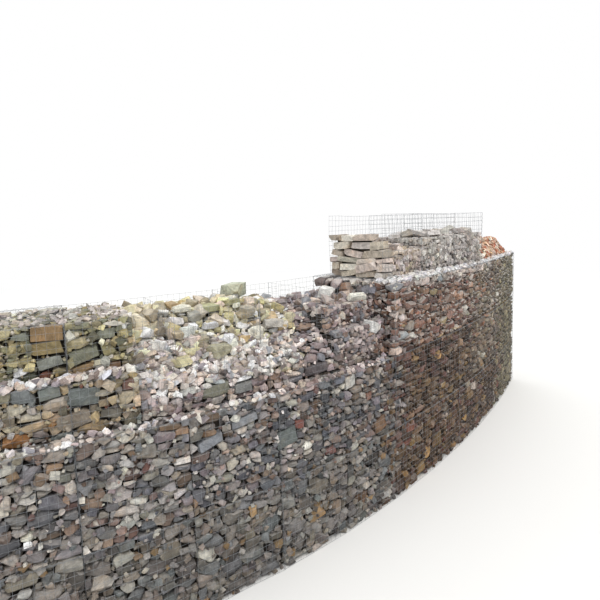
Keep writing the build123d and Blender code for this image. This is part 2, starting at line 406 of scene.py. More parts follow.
def turns(count, random):
    """Random rotations."""
    w, x, y, z = unit(random.normal(size=(count, 4))).T
    rows = [
        [1 - 2 * (y * y + z * z), 2 * (x * y - z * w), 2 * (x * z + y * w)],
        [2 * (x * y + z * w), 1 - 2 * (x * x + z * z), 2 * (y * z - x * w)],
        [2 * (x * z - y * w), 2 * (y * z + x * w), 1 - 2 * (x * x + y * y)],
    ]
    return np.array(rows).transpose(2, 0, 1)


def radii(normals, distances, directions):
    """How far the solid between planes reaches in each direction."""
    rates = np.maximum(normals @ directions.transpose(0, 2, 1), 0) / distances[:, :, None]
    return 1 / rates.max(1)


def cut(normals, distances, random, directions, deep, shallow):
    """The same planes with more that cut in from some directions, by random shares of the solid's reach."""
    directions = unit(directions)
    depths = radii(normals, distances, directions) * random.uniform(deep, shallow, directions.shape[:2])
    return np.concatenate([normals, directions], 1), np.concatenate([distances, depths], 1)


def lumps(count, random, lean, cuts, deep):
    """Planes of loose angular stones about one unit in radius."""
    normals = [SIX + random.normal(0, lean, (count, 6, 3)), random.normal(size=(count, cuts, 3))]
    distances = [random.uniform(0.78, 1.0, (count, 6)), random.uniform(deep, 1.35, (count, cuts))]
    return unit(np.concatenate(normals, 1)), np.concatenate(distances, 1)


def lump(random, lean, cuts, deep):
    """Corners and triangles of one loose stone about one unit in radius."""
    normals, distances = lumps(1, random, lean, cuts, deep)
    return between(normals[0], distances[0])


def mesh_of(name, points, triangles):
    """A smooth shaded mesh of some solids, each with its own points and triangles."""
    starts = np.cumsum([0] + [len(part) for part in points[:-1]])
    triangles = np.concatenate([part + start for part, start in zip(triangles, starts)])
    points = np.concatenate(points)
    mesh = bpy.data.meshes.new(name)
    mesh.from_pydata(points.astype(np.float32), [], triangles, shade_flat=False)
    mesh.validate()
    return mesh


def linked(name, data):
    """A new object in the scene."""
    made = bpy.data.objects.new(name, data)
    bpy.context.scene.collection.objects.link(made)
    return made


def finish_piece(name, mesh, material, node, slot):
    """A piece of the wall, which rides on the only body and stands for a node of the frame."""
    mesh.materials.append(MATERIALS[material])
    piece = linked(name, mesh)
    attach(piece, "root")
    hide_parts(node)


@dataclass
class Stones:
    """Stone solids that are joined into one piece: points, triangles, tint and dust of each, the dust amount
    also setting the painted highlight on their upward facets.
    """

    parts: list = field(default_factory=list)

    def add(self, *part):
        self.parts.append(part)

    def build(self, name, node, slot):
        """The joined mesh as a piece, with each stone's tint, dust and painted highlight amount and own place
        in the grain.
        """
        random = seed_of(name)
        points, triangles, tints, dusts_and_highlights = zip(*self.parts)
        counts = [len(part) for part in points]
        spins = turns(len(points), random)
        shifts = random.uniform(-50, 50, (len(points), 3))
        grains = [(p - p.mean(0)) @ spin.T + shift for p, spin, shift in zip(points, spins, shifts)]
        colours = np.column_stack([tints, np.ones(len(tints))])
        mesh = mesh_of(name, points, triangles)
        rows = (
            ("tint", "FLOAT_COLOR", "color", np.repeat(colours, counts, axis=0)),
            ("grain", "FLOAT_VECTOR", "vector", np.concatenate(grains)),
            ("dust", "FLOAT", "value", np.repeat(dusts_and_highlights, counts)),
        )
        for attribute, data_type, key, values in rows:
            layer = mesh.attributes.new(attribute, data_type, "POINT")
            layer.data.foreach_set(key, values.astype(np.float32).ravel())
        mesh.set_sharp_from_angle(angle=math.radians(SHARP_ANGLE))
        finish_piece(name, mesh, "stone", node, slot)


# Spaces that are packed with stone

SIDES = ("front", "far", "back", "near", "bottom", "top")
BOTTOM_SIDE = SIDES.index("bottom")
TOP_SIDE = SIDES.index("top")
EVERYWHERE = (-9, 9)
NOWHERE = (9, -9)


@dataclass
class Space:
    """A convex space packed with stone, with the sides of it that show."""

    plan: np.ndarray  # counter-clockwise from the near front corner
    bottom: float
    top: float
    shown: dict  # side to the setbacks, from the plan's front, between which it shows
    grain: tuple
    palettes: object = wall_palettes
    slopes: tuple = ()  # more sides that show, each a point and an outward direction
    tilt: float = 0.26
    recess: float = 0.024
    # amount of dust and painted highlight on the upward facets
    dust: float = 0.2
    swell: float = 0.0
    chips: int = 5
    pins: tuple = ()
    crumbs: int = CRUMBS

    def __post_init__(self):
        self.grain = np.array(self.grain)
        along = unit(self.plan[1] - self.plan[0])
        self.axes = np.array([[along[0], along[1], 0], [-along[1], along[0], 0], [0, 0, 1]])
        self.origin = np.append(self.plan[0], self.bottom)
        edges = zip(self.plan, np.roll(self.plan, -1, axis=0))
        planes = [(np.append(start, self.bottom), outward_of(start, end)) for start, end in edges]
        planes.append((self.origin, np.array([0, 0, -1.0])))
        planes.append((np.append(self.plan[0], self.top), np.array([0, 0, 1.0])))
        planes += [(point, unit(np.array(outward))) for point, outward in self.slopes]
        self.normals = np.array([self.axes @ outward for _, outward in planes])
        self.distances = np.array([outward @ (point - self.origin) for point, outward in planes])
        shows = [self.shown.get(side, NOWHERE) for side in SIDES] + [EVERYWHERE] * len(self.slopes)
        self.limits = np.array(shows, float)
        self.shows = self.limits[:, 1] > self.limits[:, 0]

    def depths(self, points):
        """Distance behind each side that shows, or a large number where it doesn't show."""
        setback = points[:, 1:2]
        hidden = (setback < self.limits[:, 0] - MARGIN) | (setback > self.limits[:, 1] + MARGIN)
        return np.where(hidden, 9.0, self.distances - points @ self.normals.T)

    def corners(self, distances):
        """Corners of the space with its sides at other distances."""
        found = []
        for three in combinations(range(len(distances)), 3):
            sides = self.normals[list(three)]
            if abs(np.linalg.det(sides)) > 0.05:
                corner = np.linalg.solve(sides, distances[list(three)])
                if (self.normals @ corner < distances + 1e-6).all():
                    found.append(corner)
        return np.array(found)

    def to_world(self, points):
        """Points of the space's own directions, in the frame's."""
        return points @ self.axes + self.origin

    def held(self, points):
        """Points moved inside the space."""
        for outward, reach in zip(self.normals, self.distances):
            points = points - np.maximum(points @ outward - reach + GAP, 0)[:, None] * outward
        return points

    def swelled(self, points):
        """Points moved outward where the mesh of a filled basket stands out."""
        wide = np.linalg.norm(self.plan[1] - self.plan[0])
        deep = (self.plan[2] - self.plan[1]) @ self.axes[1, :2]
        along = np.clip(points[:, 0] / wide, 0, 1)
        up = np.clip(points[:, 2] / (self.top - self.bottom), 0, 1)
        front = np.clip(1 - points[:, 1] / SWELL_DEPTH, 0, 1) * ("front" in self.shown)
        back = np.clip(1 - (deep - points[:, 1]) / SWELL_DEPTH, 0, 1) * ("back" in self.shown)
        moved = self.swell * np.sin(np.pi * along) * np.sin(np.pi * up) * (back - front)
        return points + moved[:, None] * (0, 1, 0)

    def tints(self, centres, random):
        """A colour for each stone from the palettes of its place."""
        return choose_tints(self.palettes(joint_of(centres[:, :2]), centres[:, 2], random), random)

    def past_pins(self, points):
        """The outward directions of each pin, and how far points are past it in each."""
        for pin in self.pins:
            middle, outward, half = pin.sides(self)
            yield outward, (points - middle) @ outward.T - half


@dataclass
class Pin:
    """A stone with its own place, size and colour in a packed space."""

    joint: float
    height: float
    length: float
    tall: float
    colour: str
    roll: float = 0.0

    def sides(self, space):
        """Middle of the stone, and its six outward directions with their distances from there.

        Its front lies as far in as the space's near front corner is from the joint before the stone.
        """
        front = np.linalg.norm(space.plan[0] - CORNERS[int(self.joint)])
        middle = space.axes @ (spot(self.joint, front + 0.012 + PIN_DEPTH / 2, self.height) - space.origin)
        c, s = math.cos(self.roll), math.sin(self.roll)
        turned = np.array([[c, 0, s], [0, 1, 0], [-s, 0, c]])
        half = np.array([self.length, PIN_DEPTH, self.tall]) / 2
        return middle, np.concatenate([turned, -turned]), np.concatenate([half, half])


def settle(space, random):
    """Seeds of the stones, evenly spread, with their weights. Lengths are in grains."""
    corners = space.corners(space.distances)
    low = corners.min(0)
    high = corners.max(0)
    seeds = random.uniform(low, high, (int(np.prod((high - low) / space.grain)), 3))
    seeds = seeds[(seeds @ space.normals.T < space.distances - START_CLEAR).all(1)]
    seeds = seeds[space.depths(seeds).min(1) < SHELL]
    keep = np.ones(len(seeds), dtype=bool)
    for _, past in space.past_pins(seeds):
        keep &= past.max(1) > START_CLEAR
    seeds = seeds[keep] / space.grain
    weights = np.minimum(0.3 * np.exp(random.normal(0, 0.85, len(seeds))), 1.1)
    spread_out = np.broadcast_to(BALL, (len(seeds), *BALL.shape))
    for _ in range(PASSES):
        normals, distances = cell_planes(space, seeds, weights)
        reach = radii(normals, distances, spread_out)
        centre = (reach[:, :, None] ** 4 * BALL).sum(1) * 0.75 / (reach**3).sum(1)[:, None]
        seeds = seeds + 0.9 * centre
    return seeds, weights


def cell_planes(space, seeds, weights):
    """Planes round each seed: its neighbours', the sides of the space, a cap on its size and the pins'."""
    count = len(seeds)
    squares = (seeds**2).sum(1)
    gaps = squares[:, None] + squares[None] - 2 * seeds @ seeds.T
    np.fill_diagonal(gaps, 1e9)
    near = np.argpartition(gaps, min(NEIGHBOURS, count - 1), axis=1)[:, :NEIGHBOURS]
    offsets = seeds[near] - seeds[:, None]
    spans = np.maximum(np.linalg.norm(offsets, axis=2), 1e-3)
    sides = space.normals * space.grain
    lengths = np.linalg.norm(sides, axis=1)
    sides = sides / lengths[:, None]
    normals = [offsets / spans[:, :, None]]
    normals += [np.broadcast_to(rows, (count, *rows.shape)) for rows in (sides, BALL_CORNERS)]
    distances = [(spans**2 + weights[:, None] - weights[near]) / (2 * spans)]
    distances += [space.distances / lengths - seeds @ sides.T, np.full((count, len(BALL_CORNERS)), CAP)]
    for outward, past in space.past_pins(seeds * space.grain):
        facing = -outward[past.argmax(1)] * space.grain
        lengths = np.linalg.norm(facing, axis=1)
        normals.append((facing / lengths[:, None])[:, None])
        distances.append(((past.max(1) - HAIR) / lengths)[:, None])
    return np.concatenate(normals, 1), np.maximum(np.concatenate(distances, 1), CELL_LEAST)


def shaped(space, seeds, weights, random):
    """Planes of the stones: their cells drawn in, leaned, made blocky and chipped."""
    count = len(seeds)
    shared = slice(0, NEIGHBOURS)
    sides = slice(NEIGHBOURS, NEIGHBOURS + len(space.normals))
    normals, distances = cell_planes(space, seeds, weights)
    metres = np.linalg.norm(normals / space.grain, axis=2)
    distances = distances - metres * SHRINK
    gap = GAP * random.uniform(0.2, 1.6, (count, NEIGHBOURS)) * metres[:, shared]
    distances[:, shared] = distances[:, shared] * random.uniform(0.92, 1.0, (count, NEIGHBOURS)) - gap
    normals[:, shared] += random.normal(0, NEIGHBOUR_TILT, (count, NEIGHBOURS, 3))
    normals[:, shared] = unit(normals[:, shared])
    leaned = normals[:, sides]
    lean = random.normal(0, space.tilt, leaned.shape)
    lean = (lean - (lean * leaned).sum(2)[:, :, None] * leaned) * space.shows[:, None]
    leaned = unit(leaned + lean)
    back = space.recess * random.beta(1.1, 2.0, leaned.shape[:2])
    back = back * np.linalg.norm(leaned / space.grain, axis=2) * space.shows
    normals = np.concatenate([normals, leaned], 1)
    distances = np.maximum(np.concatenate([distances, distances[:, sides] - back], 1), STONE_LEAST)
    turned = np.eye(3) + random.normal(0, 0.25, (count, 3, 3))
    squared = np.concatenate([turned, -turned], 1)
    normals, distances = cut(normals, distances, random, squared, *BLOCK_CUT)
    outward = unit(space.normals[space.depths(seeds * space.grain).argmin(1)] * space.grain)
    oblique = random.normal(size=(count, space.chips, 3)) + 0.9 * outward[:, None]
    return cut(normals, distances, random, oblique, *CHIP_CUT)


def pack(space, random, stones, above=None, border=math.inf):
    """Fills a space with stones behind its sides that show. Those above the border go elsewhere."""
    seeds, weights = settle(space, random)
    normals, distances = shaped(space, seeds, weights, random)
    centres = space.to_world(seeds * space.grain)
    tints = space.tints(centres, random)
    dusts_and_highlights = np.clip(space.dust + random.normal(0, 0.12, len(seeds)), 0, 1)
    near = np.nonzero(space.depths(seeds * space.grain).min(1) < REACH + 0.1)[0]
    for index in near:
        corners, faces = between(normals[index], distances[index])
        if corners is None:
            continue
        points = (corners + seeds[index]) * space.grain
        if space.depths(points).min() < REACH:
            target = above if centres[index, 2] > border else stones
            target.add(space.to_world(space.swelled(points)), faces, tints[index], dusts_and_highlights[index])
    if space.crumbs:
        places, sizes = crumbs(space, seeds[near], normals[near], distances[near], random)
        centres = space.to_world(places)
        tints = space.tints(centres, random)
        high = centres[:, 2] > border
        for target, some in ((stones, ~high), (above, high)):
            if some.any():
                scatter(target, places[some], sizes[some], tints[some], random, space.dust, 0.45, 2, space)
    for pin in space.pins:
        middle, outward, half = pin.sides(space)
        corners, faces = lump(random, 0.05, 5, 1.0)
        points = middle + (corners * half[:3]) @ outward[:3]
        tint = faded(linear(pin.colour), PLACED_FADE) * random.uniform(0.9, 1.1)
        stones.add(space.to_world(points), faces, tint, 0.1)
    add_core(space, stones, space.bottom, min(border, space.top))
    if above:
        add_core(space, above, border, space.top)


def crumbs(space, seeds, normals, distances, random):
    """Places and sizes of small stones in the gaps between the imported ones, close to what shows."""
    corners = space.corners(space.distances)
    tries = []
    for side in np.nonzero(space.shows)[0]:
        points = random.uniform(corners.min(0), corners.max(0), (space.crumbs, 3))
        depth = space.distances[side] - points @ space.normals[side]
        depth -= random.uniform(*CRUMB_DEPTH, space.crumbs)
        tries.append(points + space.normals[side] * depth[:, None])
    points = np.concatenate(tries)
    inside = (points @ space.normals.T < space.distances - 0.01).all(1)
    points = points[inside & (space.depths(points).min(1) < 0.06)]
    smallest = space.grain.min()
    clear = np.full(len(points), CRUMB[1] / smallest)
    scaled = points / space.grain
    for seed, outward, reach in zip(seeds, normals, distances):
        close = np.nonzero(((scaled - seed) ** 2).sum(1) < 4)[0]
        if len(close):
            found = ((scaled[close] - seed) @ outward.T - reach).max(1)
            clear[close] = np.minimum(clear[close], found)
    for _, past in space.past_pins(points):
        clear = np.minimum(clear, past.max(1) / smallest)
    radius = np.minimum(clear * space.grain.mean() * 0.9, CRUMB[1])
    chosen = []
    for index in np.argsort(-radius):
        if radius[index] < CRUMB[0]:
            break
        gaps = np.linalg.norm(points[chosen] - points[index], axis=1)
        if (gaps > radius[index] + radius[chosen]).all():
            chosen.append(index)
    sizes = 2.3 * radius[chosen][:, None] * random.uniform(0.8, 1.2, (len(chosen), 3))
    return points[chosen], sizes


def add_core(space, stones, low, high):
    """The middle of a packed space between two heights, as one closed convex lump painted dark as the shade
    seen in the gaps between stones.
    """
    distances = space.distances - np.where(space.shows, CORE, HAIR)
    distances[BOTTOM_SIDE] = space.bottom - low - HAIR
    distances[TOP_SIDE] = min(distances[TOP_SIDE], high - HAIR - space.bottom)
    corners = space.corners(distances)
    if len(corners) > 3:
        middle = corners.mean(0)
        corners, faces = hull(corners - middle)
        # painted shade: the middle is coloured dark to stand for the shade deep in the gaps
        stones.add(space.to_world(corners + middle), faces, PALETTES["painted_shade_core"][0], 0.0)


def scatter(stones, places, sizes, tints, random, dust=0.15, lean=0.45, cuts=8, space=None):
    """Loose stones with their middles at places, turned at random and leaned a little.

    If a space is given, the places are in its own directions and the stones are kept inside it.
    """
    count = len(places)
    normals, distances = lumps(count, random, 0.18, cuts, 0.8)
    yaw = random.uniform(0, 2 * np.pi, count)
    tip = random.normal(0, lean, (count, 2))
    for index in range(count):
        corners, faces = between(normals[index], distances[index])
        if corners is None:
            continue
        turn = Matrix.Rotation(tip[index, 0], 3, "X") @ Matrix.Rotation(tip[index, 1], 3, "Y")
        turn = np.array(turn @ Matrix.Rotation(yaw[index], 3, "Z"))
        points = places[index] + (corners * sizes[index] / 2) @ turn.T
        if space:
            points = space.to_world(space.swelled(space.held(points)))
        stones.add(points, faces, tints[index], np.clip(dust + random.normal(0, 0.1), 0, 1))


# Wires


@dataclass
class Wires:
    """Three-sided wire tubes that are joined into one piece."""

    points: list = field(default_factory=list)
    triangles: list = field(default_factory=list)

    def add(self, paths, radius):
        """Closed tubes along paths of the same number of points."""
        tangents = unit(np.gradient(paths, axis=1))
        guide = np.where(np.abs(tangents[:, :, 2:]) > 0.8, [1.0, 0.3, 0], [0, 0.0, 1.0])
        across = unit(np.cross(tangents, guide))
        over = np.cross(tangents, across)
        angles = 2 * np.pi * np.arange(3)[:, None] / 3 + 0.3
        ring = np.cos(angles) * across[:, :, None] + np.sin(angles) * over[:, :, None]
        tubes = (paths[:, :, None] + radius * ring).reshape(len(paths), -1, 3)
        grid = np.arange(len(tubes[0])).reshape(-1, 3)
        a, b = grid[:-1], grid[1:]
        c, d = np.roll(a, -1, axis=1), np.roll(b, -1, axis=1)
        walls = [np.stack(three, 2).reshape(-1, 3) for three in ((a, c, b), (c, d, b))]
        faces = np.concatenate([*walls, [grid[0, ::-1], grid[-1]]])
        self.points += list(tubes)
        self.triangles += [faces] * len(tubes)

    def build(self, name, node):
        mesh = mesh_of(name, self.points, self.triangles)
        finish_piece(name, mesh, "wire", node, "galvanised_wire")


def panel(wires, corners, outward, random, swell=0.0, edge=True, wave=0.0025, thick=FINE_WIRE):
    """Welded mesh on four corners, its lines a pitch apart, with the panel swelling outward."""
    corners = np.array(corners)
    outward = np.array(outward)
    wide, high = np.linalg.norm(corners[[1, 3]] - corners[0], axis=1)
    for long, other, level in ((high, wide, False), (wide, high, True)):
        cuts = max(1, round(other / MESH))
        lines = np.clip(np.arange(cuts + 1) / cuts, EDGE / other, 1 - EDGE / other)
        if not level and not edge:
            lines = lines[:-1]
        run = np.linspace(0, 1, max(2, round(long / WIRE_STEP)) + 1)
        u, v = np.meshgrid(lines, run, indexing="ij")
        if level:
            u, v = v, u
        flat = np.stack([(1 - u) * (1 - v), u * (1 - v), u * v, (1 - u) * v], -1) @ corners
        raised = swell * np.sin(np.pi * u) * np.sin(np.pi * v) + WIRE * (LAYER if level else -LAYER)
        sway = random.normal(0, wave, (len(lines), 1, 3)) * np.sin(np.pi * run * 2 + 1)[:, None]
        jitter = random.normal(0, wave * 0.5, flat.shape)
        jitter[:, [0, -1]] = 0
        wires.add(flat + outward * raised[..., None] + sway + jitter, thick / 2)


def binder(wires, start, end):
    """A helical binder along an edge between two panels."""
    length = np.linalg.norm(end - start)
    along = (end - start) / length
    across = unit(np.cross(along, (0, 0, 1.0) if abs(along[2]) < 0.8 else (1.0, 0, 0)))
    over = np.cross(along, across)
    share = np.linspace(0, 1, int(length / MESH * BINDER_STEPS) + 1)[:, None]
    angle = share * length / MESH * 2 * np.pi
    helix = BINDER_RADIUS * (np.cos(angle) * across + np.sin(angle) * over)
    wires.add((start + (end - start) * share + helix)[None], BINDER_WIRE / 2)


# Materials


class Shader:
    """The shader nodes of a material or a world, built node by node."""

    def __init__(self, owner):
        self.owner = owner
        owner.use_nodes = True
        self.tree = owner.node_tree
        self.tree.nodes.clear()

    def end(self, surface):
        """Shows a surface, and gives the material or world."""
        kind = "World" if isinstance(self.owner, bpy.types.World) else "Material"
        self.add(f"Output{kind}", None, {"Surface": surface})
        return self.owner

    def add(self, kind, output, inputs=None, **settings):
        """Adds a node and gives one of its outputs. An input is a value or another node's output."""
        node = self.tree.nodes.new(f"ShaderNode{kind}")
        for key, value in settings.items():
            setattr(node, key, value)
        for socket, value in (inputs or {}).items():
            if isinstance(value, bpy.types.NodeSocket):
                self.tree.links.new(value, node.inputs[socket])
            else:
                node.inputs[socket].default_value = value
        return node.outputs[output] if output else None

    def noise(self, vector, scale, detail, roughness):
        inputs = {"Vector": vector, "Scale": scale, "Detail": detail, "Roughness": roughness}
        return self.add("TexNoise", "Fac", inputs)

    def spread(self, value, low, high, out_low, out_high):
        inputs = {"Value": value, "From Min": low, "From Max": high, "To Min": out_low, "To Max": out_high}
        return self.add("MapRange", "Result", inputs)

    def combine(self, operation, first, *others):
        """One operation over two or more numbers, in their order."""
        for other in others:
            first = self.add("Math", "Value", {0: first, 1: other}, operation=operation)
        return first

    def blend(self, kind, amount, first, second):
        inputs = {"Factor": amount, 6: first, 7: second}
        return self.add("Mix", 2, inputs, data_type="RGBA", blend_type=kind)


def paint(code):
    """Linear colour for a socket, from six hex digits."""
    return (*linear(code), 1)


def stone_material():
    """Broken stone: its own tint with mottling, bedding, speckle and stains, and pale dust with a painted
    highlight on what looks up.
    """
    shader = Shader(bpy.data.materials.new("rubble_stone"))
    grain = shader.add("Attribute", "Vector", attribute_name="grain")
    tint = shader.add("Attribute", "Color", attribute_name="tint")
    dust = shader.add("Attribute", "Fac", attribute_name="dust")
    mottle = shader.noise(grain, 14, 5, 0.65)
    beds = shader.noise(shader.add("Mapping", "Vector", {"Vector": grain, "Scale": (1, 1, 9)}), 10, 3, 0.6)
    speckle = shader.noise(grain, 170, 3, 0.7)
    shades = ((mottle, 0.62, 1.34), (beds, 0.8, 1.18), (speckle, 0.84, 1.16))
    shades = [shader.spread(value, 0.3, 0.7, low, high) for value, low, high in shades]
    shade = shader.combine("MULTIPLY", *shades)
    grey = shader.add("CombineColor", "Color", {0: shade, 1: shade, 2: shade})
    colour = shader.blend("MULTIPLY", 1.0, tint, grey)
    stain = shader.spread(shader.noise(grain, 5.5, 3, 0.6), 0.52, 0.72, 0.0, 0.75)
    warm = shader.blend("MULTIPLY", 1.0, colour, (1.1, 0.95, 0.8, 1))
    colour = shader.blend("MIX", stain, colour, warm)
    # upward facets turn pale: partly real dust, partly a painted highlight on the tops where the light falls
    normal = shader.add("NewGeometry", "Normal")
    upward = shader.spread(shader.add("SeparateXYZ", "Z", {"Vector": normal}), 0.35, 0.95, 0.0, 1.0)
    dust_and_highlight_cover = shader.combine("ADD", shader.noise(grain, 22, 4, 0.7), shader.combine("MULTIPLY", dust, 0.5))
    dust_and_highlight_cover = shader.combine("MULTIPLY", shader.spread(dust_and_highlight_cover, 0.45, 0.8, 0.0, 1.0), dust, upward)
    rough = shader.noise(grain, 38, 6, 0.7)
    parts = [shader.combine("MULTIPLY", value, share) for value, share in ((speckle, 0.25), (beds, 0.5))]
    bump = {"Height": shader.combine("ADD", rough, *parts), "Strength": 0.9, "Distance": 0.018}
    surface = {
        "Base Color": shader.blend("MIX", dust_and_highlight_cover, colour, paint("cfc8c1")),
        "Roughness": shader.spread(speckle, 0.3, 0.7, 0.72, 0.95),
        "Specular IOR Level": 0.3,
        "Normal": shader.add("Bump", "Normal", bump),
    }
    return shader.end(shader.add("BsdfPrincipled", "BSDF", surface))


def wire_material():
    """Dull galvanised wire with paler and rusted stretches."""
    shader = Shader(bpy.data.materials.new("dull_zinc_wire"))
    place = shader.add("TexCoord", "Object")
    patch = shader.spread(shader.noise(place, 9, 4, 0.6), 0.35, 0.65, 0.0, 1.0)
    fine = shader.noise(place, 150, 2, 0.6)
    rust = shader.spread(shader.noise(place, 3.1, 5, 0.7), 0.58, 0.72, 0.0, 0.8)
    zinc = shader.blend("MIX", patch, paint("808386"), paint("a9acaf"))
    zinc = shader.blend("MULTIPLY", shader.spread(fine, 0.3, 0.7, 0.0, 0.4), zinc, (0.85, 0.85, 0.88, 1))
    surface = {
        "Base Color": shader.blend("MIX", rust, zinc, paint("6f4a35")),
        "Roughness": shader.spread(fine, 0.3, 0.7, 0.42, 0.65),
        "Metallic": 0.35,
    }
    return shader.end(shader.add("BsdfPrincipled", "BSDF", surface))


def floor_material():
    """Pale floor that turns white far from the wall."""
    shader = Shader(bpy.data.materials.new("pale_floor"))
    distance = shader.add("VectorMath", "Value", {0: shader.add("TexCoord", "Object")}, operation="LENGTH")
    far = shader.spread(distance, 11.0, 30.0, 0.0, 1.0)
    seen = shader.combine("MULTIPLY", far, shader.add("LightPath", "Is Camera Ray"))
    pale = {"Base Color": (0.80, 0.79, 0.77, 1), "Roughness": 0.9, "Specular IOR Level": 0.1}
    pale = shader.add("BsdfPrincipled", "BSDF", pale)
    white = shader.add("Emission", "Emission")
    return shader.end(shader.add("MixShader", "Shader", {"Fac": seen, 1: pale, 2: white}))


MATERIALS = {"stone": stone_material(), "wire": wire_material()}


# The courses

PINS = {
    "top": (
        Pin(1.855, 2.925, 0.26, 0.13, "a9803a"),
        Pin(1.855, 2.79, 0.26, 0.13, "9c843c"),
        Pin(1.86, 2.655, 0.22, 0.11, "8f9384", 0.2),
        Pin(2.14, 2.56, 0.19, 0.075, "b38c49", 0.15),
        Pin(2.4, 2.545, 0.15, 0.07, "b98850"),
        Pin(2.17, 2.69, 0.26, 0.14, "86876a", 0.25),
        Pin(2.36, 2.86, 0.18, 0.1, "8b8d74"),
    ),
    "step": (
        Pin(2.1, 2.35, 0.27, 0.19, "6d7672", -0.1),
        Pin(1.84, 2.43, 0.2, 0.11, "7c867f", 0.2),
        Pin(2.3, 2.35, 0.18, 0.07, "a0957b"),
        Pin(2.5, 2.39, 0.11, 0.1, "8a5c48"),
        Pin(2.02, 2.16, 0.27, 0.14, "8b7d69", 0.15),
        Pin(2.33, 2.15, 0.2, 0.1, "7c7564", -0.15),
        Pin(5.8, 2.41, 0.25, 0.15, "ece9e2", -0.4),
    ),
    "slope": (
        Pin(2.86, 2.07, 0.16, 0.12, "aaa79d"),
        Pin(3.37, 2.14, 0.3, 0.12, "8b8970", 0.05),
        Pin(3.68, 2.11, 0.22, 0.11, "8c8c88", 0.05),
        Pin(4.7, 2.1, 0.34, 0.15, "776a6c", 0.05),
    ),
    "lower": (
        Pin(5.1, 1.88, 0.21, 0.17, "cfcbc0", 0.1),
        Pin(4.29, 1.59, 0.14, 0.12, "954b38"),
        Pin(5.66, 1.16, 0.24, 0.2, "8c6338", 0.3),
        Pin(4.1, 1.5, 0.28, 0.2, "6c7672", 0.1),
        Pin(5.45, 1.6, 0.12, 0.1, "a06a50"),
        Pin(3.6, 1.82, 0.3, 0.1, "8f949c", 0.2),
        Pin(3.2, 1.7, 0.3, 0.12, "8a8f98", 0.25),
    ),
}
STEPPED = ("step", "top")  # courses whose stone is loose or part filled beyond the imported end
SHORT_END = (0, 0.4)  # stretch of the first step's packed end that shows beside the loose stone

# Small stones on the ledges: how many a cell, setbacks, sizes, kind and share of their size above the ledge
STREWN = {
    "lower": (50, (0.01, 0.15), (0.02, 0.06), "crushed", 0.2),
    "upper": (120, (0.02, 0.36), (0.02, 0.065), "pale", 0.1),
    "top": (90, (0.35, 1.3), (0.02, 0.06), "open", -0.1),
}


@dataclass
class Course:
    """Baskets of one course, with the frame nodes that they stand for."""

    name: str
    baskets: tuple  # number, first joint and last joint of each
    front: float
    back: float
    bottom: float
    top: float
    ledge: tuple  # distances behind the front between which its top shows, if any
    # amount of dust and painted highlight on the upward facets
    dust: float
    slot: str

    def shown(self, joint):
        """Sides of a cell that show, and from where to where."""
        sides = {"front": EVERYWHERE, "back": EVERYWHERE}
        if joint == 0 or (self.name == "upper" and joint == MIDDLE):
            sides["near"] = EVERYWHERE
        if joint == CELLS - 1:
            sides["far"] = EVERYWHERE
        if self.ledge:
            sides["top"] = self.ledge
        return sides


def bays(first, last, number):
    """Baskets of two cells between two joints, numbered from some number."""
    return tuple((number + i, joint, joint + 2) for i, joint in enumerate(range(first, last, 2)))


LONG_BASKETS = ((1, 0, 4), (2, 4, 8), (3, 8, 12))
COURSES = (
    Course("base", LONG_BASKETS, 0, BASE_BACK, 0, LOWER, (BACK, BASE_BACK), 0.3, "base_stone"),
    Course("lower", bays(0, 6, 1), 0, BACK, LOWER, UPPER, (0, STEP_FACE), 0.3, "grey_stone"),
    Course("lower", bays(6, 12, 4), 0, BACK, LOWER, UPPER, (), 0.3, "brown_stone"),
    Course("upper", bays(6, 12, 1), 0, BACK, UPPER, TOP, EVERYWHERE, 1.0, "brown_stone"),
    Course("step", bays(0, 6, 1), STEP_FACE, BACK, UPPER, STEP, (0, TOP_FACE - STEP_FACE), 0.4, "grey_stone"),
    Course("top", bays(0, 6, 1), TOP_FACE, BACK, STEP, TOP, EVERYWHERE, 0.15, "buff_stone"),
)


def pins_in(name, first, last, bottom):
    """Stones with a place of their own between two joints."""
    return tuple(pin for pin in PINS.get(name, ()) if first <= pin.joint < last and pin.height > bottom)


def packed_cells(course, joint):
    """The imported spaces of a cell, finer in front than at the back, or none where its stone is loose."""
    stepped = course.name in STEPPED
    if stepped and PACKED_END <= joint < PART_FILLED:
        return
    shown = course.shown(joint)
    end = joint + 1
    if stepped and joint < PACKED_END < end:
        end = PACKED_END
        shown["far"] = SHORT_END if course.name == "step" else EVERYWHERE
    part_filled = course.name == "top" and joint == PART_FILLED
    top = PART_FILL_TOP if part_filled else course.top
    fine = NEAR_GRAIN if joint < 3 else MIDDLE_GRAIN if joint < MIDDLE else FAR_GRAIN
    for start, stop, hidden in ((0, SPLIT, "back"), (SPLIT, course.back - course.front, "front")):
        in_front = hidden == "back"
        sides = {side: (low - start, high - start) for side, (low, high) in shown.items() if side != hidden}
        plan = outline(joint, end, course.front + start, course.front + stop)
        grain = fine if in_front and course.name != "base" else BACK_GRAIN
        space = Space(plan, course.bottom, top, sides, grain, dust=course.dust)
        if in_front:
            space.pins = pins_in(course.name, joint, end, course.bottom)
        if joint >= MIDDLE or not in_front:
            space.crumbs = FAR_CRUMBS if in_front or joint in (0, CELLS - 1) else 0
        if part_filled:
            space.tilt, space.recess = 0.4, 0.05
        else:
            space.swell = SWELL
        yield space


